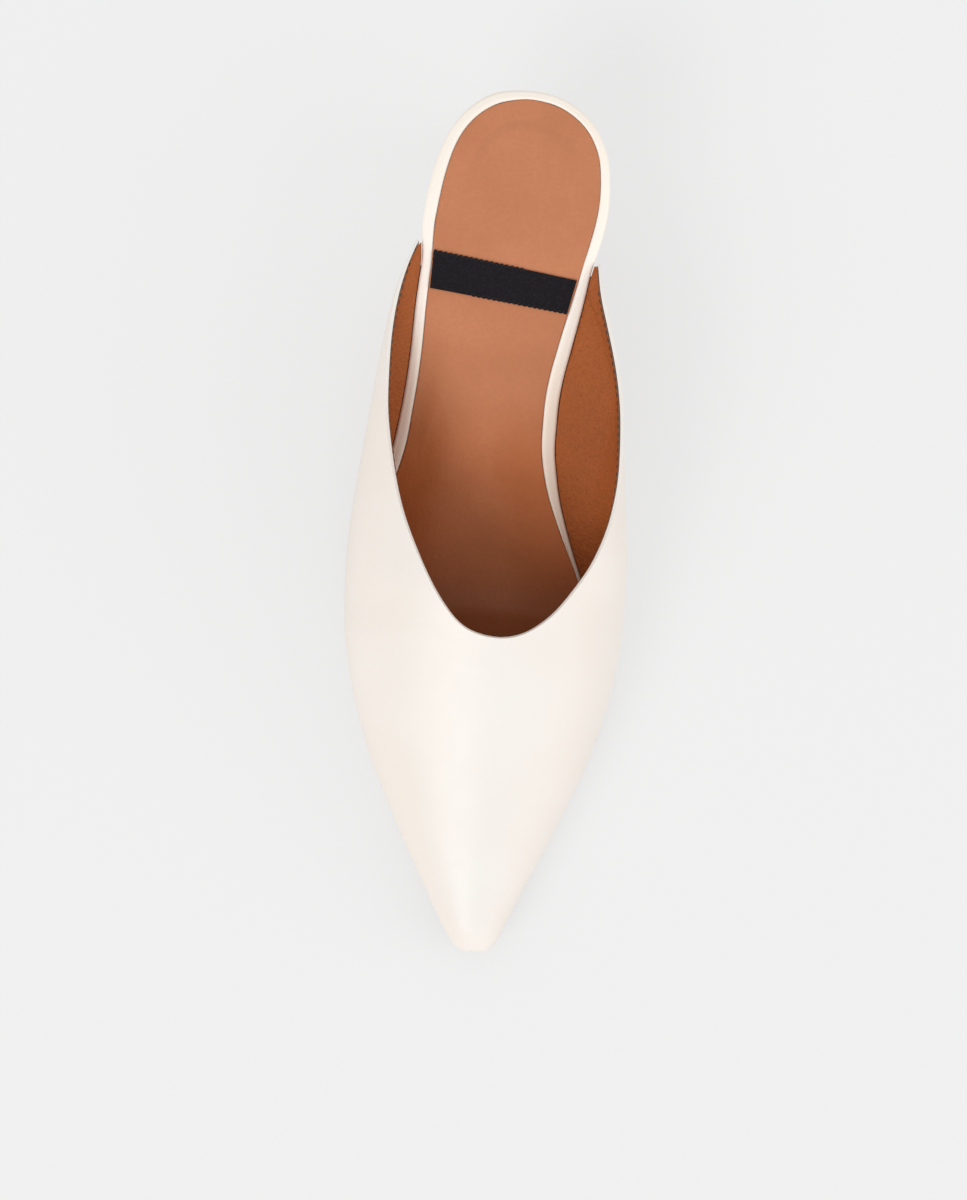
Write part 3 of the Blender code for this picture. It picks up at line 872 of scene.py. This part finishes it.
class MULE_OT_lining(bpy.types.Operator):
    """Make the lining with its cut edge and its stitches at the topline"""

    bl_idname = "mule.lining"
    bl_label = "Lining"

    def execute(self, context):
        piece = outer_shell("upper_lining")
        depth = sizes().skin_thickness + sizes().lining_gap
        finish_modifier(piece, "DISPLACE", strength=-depth, mid_level=0.0, direction="NORMAL",
                        vertex_group="wall")
        rows = topline(piece)
        lean_to_rim(piece, rows)
        tuck_ends(piece)
        mesh = piece.data
        mesh.update()
        raised = set(rows)
        lower = {}
        for polygon in mesh.polygons:
            for key in polygon.edge_keys:
                if (key[0] in raised) != (key[1] in raised):
                    top, under = key if key[0] in raised else key[::-1]
                    lower[top] = mesh.vertices[under].co.copy()
        normals = [mesh.vertices[index].normal.copy() for index in rows]
        points = []
        for index in rows:
            top = mesh.vertices[index].co
            step = lower.get(index, top) - top
            down = step.normalized()
            drop = sizes().lining_drop * (1.0 + DROP_MORE * ease((top.y - DROP_FROM) / DROP_RUN))
            top += down * min(drop, DROP_MOST * step.length)
            inside = mesh.vertices[index].normal * sizes().lining_thickness * wall_share(top)
            points.append(top + down * 0.0002 - inside)
        finish_modifier(piece, "SOLIDIFY", thickness=sizes().lining_thickness, offset=-1.0,
                        vertex_group="wall")
        paint_faces(piece, 1, lambda polygon: is_rim(piece, polygon))
        smooth_shading(piece)
        dress(piece, "sock_leather",
              lining_finish(tuple(colours().lining)),
              cut_edge("cut lining edge", tuple(colours().raw_edge)))
        places = []
        tree = KDTree(len(points))
        for index, point in enumerate(points):
            tree.insert(point, index)
        tree.balance()
        for place, direction in along_run(points, sizes().seam_pitch):
            normal = -normals[tree.find(place)[1]]
            places.append((place + normal * 0.00003, direction, normal))
        row = stitch_row("topline_stitches", places[3:-3], sizes().seam_pitch * 0.62, 0.00023,
                         thread("brown thread", (0.03, 0.012, 0.008)))
        return {"FINISHED"}


def is_rim(piece, polygon):
    """Whether a face is one of the narrow faces between the two sides of the lining."""
    mesh = piece.data
    count = len(mesh.vertices) // 2
    sides = [index < count for index in polygon.vertices]
    return any(sides) and not all(sides)


def board_level(base):
    """Height of the footbed's top or bottom under a place."""
    rows = BOARD.rows
    column = 3 if base == "low" else 4
    return lambda place: through(rows, column, place.y)


class MULE_OT_footbed(bpy.types.Operator):
    """Make the wrapped footbed whose rim shows round the sock"""

    bl_idname = "mule.footbed"
    bl_label = "Footbed"

    def execute(self, context):
        low, high = board_level("low"), board_level("high")
        sock_ring = ring_tree(SOCK, 1200)
        crown = sizes().rim_crown

        def rings(ring, into, room, spine):
            bare = [sock_ring.find((place.x, place.y, 0.0))[2] for place in ring]
            for _ in range(6):
                bare = [(bare[k - 1] + bare[k] + bare[(k + 1) % len(bare)]) / 3.0 for k in range(len(bare))]

            def row(distance_of, level):
                return [(ring[k] + into[k] * distance_of(k), level) for k in range(len(ring))]

            for part in (0.6, 0.25):
                yield [(place.lerp(centre, part), ("low", 0.0)) for place, centre in zip(ring, spine)]
            for distance, lift in ((0.0008, 0.0), (0.0003, 0.00006), (0.00008, 0.00028), (0.0, 0.0007)):
                yield row(lambda k: distance * room[k], ("low", lift))
            yield row(lambda k: 0.0, ("high", -0.0018))
            for turn in (0, 14, 28, 42, 56, 70, 84):
                angle = math.radians(turn)
                distance = RIM_RADIUS * (1.0 - math.cos(angle))
                yield row(lambda k: distance * room[k], ("high", -RIM_DEPTH * (1.0 - math.sin(angle))))
            for part, lift in ((0.2, 0.55), (0.4, 0.9), (0.6, 1.0), (0.78, 0.85), (0.9, 0.45), (0.97, -0.2),
                               (1.0, -0.8), (1.04, -1.6)):
                yield row(lambda k: room[k] * RIM_RADIUS + (bare[k] - RIM_RADIUS) * part * room[k],
                          ("high", crown * lift))
            groove = row(lambda k: room[k] * (bare[k] + GROOVE_WIDTH), ("high", GROOVE_LEVEL))
            yield groove
            for part in (0.45, 0.8):
                yield [(place.lerp(centre, part), level) for (place, level), centre in zip(groove, spine)]

        def height(place, level):
            base, lift = level
            return (low if base == "low" else high)(place) + lift

        piece = layered("footbed", BOARD, rings, height, 0.0045)
        smooth_shading(piece, 60.0)
        dress(piece, "rim_leather", rim_finish(tuple(colours().rim)))
        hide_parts("insole_board")
        return {"FINISHED"}


class MULE_OT_sock(bpy.types.Operator):
    """Make the sock with its soft pad, and the plain woven tape sewn across it"""

    bl_idname = "mule.sock"
    bl_label = "Sock and label"

    def execute(self, context):
        high = board_level("high")
        inset, swell, top = sizes().pad_inset, sizes().pad_height, sizes().sock_level

        def pad(distance, place):
            return swell * ease((distance - inset) / PAD_SLOPE) * ease((place.y - PAD_FRONT) / PAD_FADE)

        def rings(ring, into, room, spine):
            def row(distance, lift, padded=False):
                made = []
                for k in range(len(ring)):
                    place = ring[k] + into[k] * distance * room[k]
                    made.append((place, lift + (pad(distance * room[k], place) if padded else 0.0)))
                return made

            for part in (0.7, 0.3):
                yield [(place.lerp(centre, part), SOCK_UNDER) for place, centre in zip(ring, spine)]
            for distance, lift in ((0.0003, SOCK_UNDER), (0.0, -0.0005), (0.0, top - 0.0003),
                                   (0.00004, top - 0.00016), (0.00014, top - 0.00006), (0.0003, top)):
                yield row(distance, lift)
            for distance in (0.0006, 0.0012, 0.002, 0.003, 0.004, 0.005, 0.0055, 0.006, 0.0065, 0.007,
                             0.0076, 0.0083, 0.0092, SOCK_REACH):
                yield row(distance, top, True)
            for part in (0.25, 0.5, 0.75, 0.92):
                made = []
                for k in range(len(ring)):
                    start = ring[k] + into[k] * SOCK_REACH * room[k]
                    place = start.lerp(spine[k], part)
                    made.append((place, top + pad(SOCK_REACH * room[k] + 0.001 * part, place)))
                yield made

        piece = layered("sock_leather", SOCK, rings, lambda place, lift: high(place) + lift, SOCK_REACH)
        mark_painted_shade_and_bounce(piece)
        # Painted shade: the sock's side faces take a dark edge colour that stands in for the shade in its
        # joint with the rim.
        paint_faces(piece, 1, lambda polygon: abs(polygon.normal.z) < 0.55)
        smooth_shading(piece, 50.0)
        dress(piece, "sock_leather", sock_finish(tuple(colours().tan)),
              cut_edge("sock edge with painted shade", shade(tuple(colours().tan), 0.35, 0.3)))
        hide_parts("sock")
        sew_label(piece)
        return {"FINISHED"}


def ring_tree(plan, count):
    """Places on a plan's outline, for distances from it."""
    tree = KDTree(2 * count)
    for number, place in enumerate(plan.ring(count)):
        tree.insert((place.x, place.y, 0.0), number)
    tree.balance()
    return tree


def mark_painted_shade_and_bounce(piece):
    """Marks painted shade on the sock, beside its outer edge, at its sides and below the throat, and where
    its painted warm bounce light is fuller.
    """
    tree = ring_tree(SOCK, 400)
    painted_shade = piece.data.attributes.new("painted_shade", "FLOAT", "POINT")
    painted_bounce = piece.data.attributes.new("painted_bounce", "FLOAT", "POINT")
    for vertex in piece.data.vertices:
        place = vertex.co
        outer = place.x < AXIS_X
        distance = tree.find((place.x, place.y, 0.0))[2]
        # Painted shade: a band beside the outer edge for the wing's shadow, the sides deep in the shoe, and
        # under the throat.
        band = math.exp(-((distance - SHADE_BAND_AT) / SHADE_BAND_WIDTH) ** 2) if outer else 0.0
        band *= ease((place.y - SHADE_BAND_FRONT) / SHADE_BAND_FADE) * ease((SHADE_BAND_BACK - place.y) / SHADE_BAND_FADE)
        side = 2.0 * abs(place.x - SOCK.middle(place.y)) / SOCK.width(place.y)
        deep = ease((DEEP_FROM - place.y) / DEEP_RUN)
        sides = deep * ease((side - 0.2) / 0.45) * (0.5 if outer else 0.3)
        throat = 0.5 * ease((-0.0235 - place.y) / 0.005)
        painted_shade.data[vertex.index].value = max(0.45 * band, sides, throat)
        # Painted warm bounce light, fuller deep in the shoe and fading out under the throat.
        painted_bounce.data[vertex.index].value = deep * ease((place.y + 0.024) / 0.012)


def sew_label(sock):
    """Lays the tape on the sock, scallops its edges and sews them down."""
    piece = copy_of_node("label", "label_tape")
    tops = {polygon.index for polygon in piece.data.polygons if polygon.normal.z > 0.5}
    keep_faces(piece, tops)
    bpy.ops.object.mode_set(mode="EDIT")
    bpy.ops.mesh.select_all(action="SELECT")
    bpy.ops.mesh.subdivide(number_cuts=TAPE_CUTS)
    bpy.ops.object.mode_set(mode="OBJECT")
    finish_modifier(piece, "SHRINKWRAP", target=sock, wrap_method="PROJECT", use_project_z=True,
                    use_positive_direction=True, use_negative_direction=True, offset=0.0001)
    mesh = piece.data
    border = sorted({index for key in free_edges(mesh) for index in key},
                    key=lambda index: mesh.vertices[index].co.x)
    ends = [sum((mesh.vertices[index].co for index in part), Vector()) / len(part)
            for part in (border[:12], border[-12:])]
    middle = 0.5 * (ends[0] + ends[1])
    slope = (ends[1].y - ends[0].y) / (ends[1].x - ends[0].x)
    pitch = sizes().stitch_pitch
    rows = {-1: [], 1: []}
    for index in border:
        place = mesh.vertices[index].co
        side = place.y - middle.y - slope * (place.x - middle.x)
        if abs(side) > TAPE_HALF:
            rows[1 if side > 0 else -1].append(index)
    lines = []
    for side, indices in rows.items():
        inset = Vector((0.0, -side * STITCH_INSET, 0.0))
        lines.append([mesh.vertices[index].co + inset for index in indices])
        start = mesh.vertices[indices[0]].co.x
        for index in indices:
            phase = (mesh.vertices[index].co.x - start) / pitch
            mesh.vertices[index].co.y += side * SCALLOP * (abs(math.sin(math.pi * phase)) - 0.4)
    finish_modifier(piece, "SOLIDIFY", thickness=TAPE_THICKNESS, offset=1.0)
    soften(piece, 0.00014, 2)
    smooth_shading(piece, 50.0)
    stitches = []
    for line in lines:
        for place, direction in along_run(line, pitch):
            found, hit, normal, _ = piece.ray_cast(place + Vector((0.0, 0.0, 0.02)), Vector((0.0, 0.0, -1.0)))
            if found:
                stitches.append((hit, direction, normal))
    dress(piece, "label_tape", woven_tape("black woven tape", tuple(colours().tape)))
    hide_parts("label")
    row = stitch_row("label_stitches", stitches, pitch * 0.55, 0.00016,
                     thread("black thread", (0.010, 0.009, 0.012)))


def meet_footbed(heel):
    """Draws the heel's top edge flush with the footbed's outline above it."""
    tree = ring_tree(BOARD, 600)
    low = board_level("low")
    for vertex in heel.data.vertices:
        near, _, distance = tree.find((vertex.co.x, vertex.co.y, 0.0))
        share = 1.0 - ease((low(vertex.co) - vertex.co.z) / MEET_HEIGHT)
        if share > 0.0 and distance < MEET_REACH:
            vertex.co.x += (near.x - vertex.co.x) * share
            vertex.co.y += (near.y - vertex.co.y) * share


class MULE_OT_heel(bpy.types.Operator):
    """Make the covered heel and its top lift"""

    bl_idname = "mule.heel"
    bl_label = "Heel"

    def execute(self, context):
        heel = copy_of_node("heel", "heel_cover")
        meet_footbed(heel)
        soften(heel, 0.0007)
        finish_modifier(heel, "SUBSURF", levels=1, render_levels=1)
        smooth_shading(heel, 50.0)
        dress(heel, "heel_leather", cream_leather("cream heel leather", tuple(colours().cream)).material)
        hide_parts("heel")
        lift = copy_of_node("top_lift", "heel_tip")
        soften(lift, 0.0004)
        smooth_shading(lift, 50.0)
        dress(lift, "tip_rubber", dull_rubber("dull tip rubber", tuple(colours().tip)))
        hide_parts("top_lift")
        return {"FINISHED"}


class MULE_OT_outsole(bpy.types.Operator):
    """Make the leather outsole with its burnished edge"""

    bl_idname = "mule.outsole"
    bl_label = "Outsole"

    def execute(self, context):
        piece = copy_of_node("outsole", "sole_plate")
        soften(piece, 0.0005)
        finish_modifier(piece, "SUBSURF", levels=1, render_levels=1)
        paint_faces(piece, 1, lambda polygon: abs(polygon.normal.z) < 0.7)
        smooth_shading(piece, 50.0)
        dress(piece, "sole_leather", sole_leather("brown sole leather", tuple(colours().sole)),
              sole_leather("burnished sole edge", shade(tuple(colours().sole), 0.7)))
        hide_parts("outsole")
        return {"FINISHED"}


class MULE_OT_stage(bpy.types.Operator):
    """Set the floor, the soft lights and the camera"""

    bl_idname = "mule.stage"
    bl_label = "Stage"

    def execute(self, context):
        bpy.ops.object.select_all(action="DESELECT")
        bpy.ops.mesh.primitive_plane_add(size=FLOOR_SIZE, location=(0.0, 0.0, 0.0))
        floor = bpy.context.active_object
        floor.name = "studio_floor"
        floor.data.materials.append(studio_floor("pale floor", tuple(colours().floor), FLOOR_GLOW))
        lamp("key_softbox", *KEY_SOFTBOX)
        lamp("side_softbox", *SIDE_SOFTBOX)
        world = bpy.data.worlds.new("studio")
        world.use_nodes = True
        sky = world.node_tree.nodes["Background"]
        sky.inputs["Color"].default_value = (1.0, 1.0, 1.0, 1.0)
        sky.inputs["Strength"].default_value = SKY_LIGHT
        bpy.context.scene.world = world
        bpy.context.scene.view_settings.view_transform = "Standard"
        place_camera()
        return {"FINISHED"}


def lamp(name, place, size, power):
    """A square softbox that faces the shoe."""
    light = bpy.data.lights.new(name, "AREA")
    light.size = size
    light.energy = power
    holder = placed(name, light)
    holder.location = place
    toward = Vector(LAMP_AIM) - Vector(place)
    holder.rotation_euler = toward.to_track_quat("-Z", "Y").to_euler()


def place_camera():
    """Looks straight down at the photograph's scale, turned as the shoe lies in it."""
    camera = bpy.data.cameras.new("overhead camera")
    focal_px = FLOOR_PX_PER_MM * 1000.0 * CAMERA_HEIGHT
    camera.sensor_width = SENSOR_WIDTH_MM
    camera.lens = focal_px / IMAGE_HEIGHT_PX * SENSOR_WIDTH_MM
    camera.clip_start = 0.01
    camera.clip_end = 100.0
    holder = placed("camera", camera)
    holder.location = (CAMERA_X, CAMERA_Y, CAMERA_HEIGHT)
    holder.rotation_euler = (0.0, 0.0, CAMERA_ROLL)
    bpy.context.scene.camera = holder


class MULE_PT_panel(bpy.types.Panel):
    """Lists the mule's pieces and their sizes and colours"""

    bl_idname = "MULE_PT_panel"
    bl_label = "Leather Mule"
    bl_space_type = "VIEW_3D"
    bl_region_type = "UI"
    bl_category = "Mule"

    def draw(self, context):
        column = self.layout.column()
        for operator in PIECES:
            column.operator(operator.bl_idname)
        for group in (context.scene.mule_sizes, context.scene.mule_colours):
            for name in group.__annotations__:
                column.prop(group, name)


BOARD = Plan("insole_board", 0.0003)
SOCK = Plan("sock", 0.0010)
PIECES = (MULE_OT_upper, MULE_OT_lining, MULE_OT_footbed, MULE_OT_sock, MULE_OT_heel,
          MULE_OT_outsole, MULE_OT_stage)
CLASSES = (MuleSizes, MuleColours, *PIECES, MULE_PT_panel)


def register():
    for item in CLASSES:
        bpy.utils.register_class(item)
    bpy.types.Scene.mule_sizes = PointerProperty(type=MuleSizes)
    bpy.types.Scene.mule_colours = PointerProperty(type=MuleColours)


def unregister():
    del bpy.types.Scene.mule_sizes
    del bpy.types.Scene.mule_colours
    for item in reversed(CLASSES):
        bpy.utils.unregister_class(item)


def main():
    register()
    bpy.ops.mule.upper()
    bpy.ops.mule.lining()
    bpy.ops.mule.footbed()
    bpy.ops.mule.sock()
    bpy.ops.mule.heel()
    bpy.ops.mule.outsole()
    bpy.ops.mule.stage()


if __name__ == "__main__":
    main()
